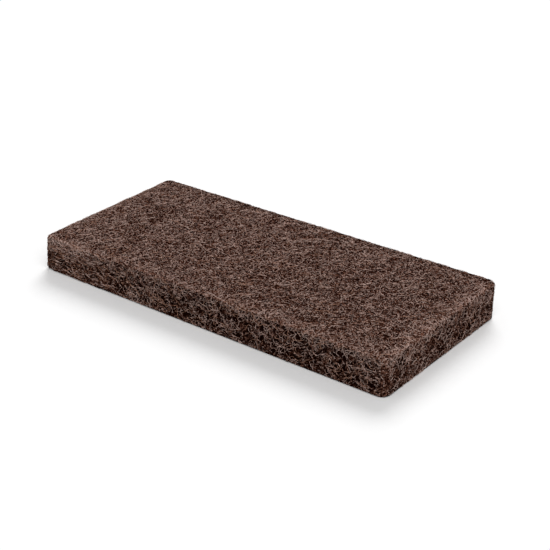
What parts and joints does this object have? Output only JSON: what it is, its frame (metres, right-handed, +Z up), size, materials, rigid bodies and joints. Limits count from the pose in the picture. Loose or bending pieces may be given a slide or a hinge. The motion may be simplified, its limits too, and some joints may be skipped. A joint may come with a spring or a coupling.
{
  "type": "scrub pad",
  "caption": "Flat rectangular block of coarse brown bonded-fibre web with rounded corners and rims, for hand scrubbing or fitting under a pad holder.",
  "frame": {"origin": "middle of the broad face that the pad rests on", "axes": "+X along the pad's length, +Y across its width, +Z up through its thickness"},
  "size_m": [0.254, 0.117, 0.024],
  "materials": {
    "fibre_web": "matte, open web of curled brown fibres dulled by resin and abrasive grain"
  },
  "bodies": {
    "root": {"scrub_pad": "fibre_web"}
  },
  "joints": []
}
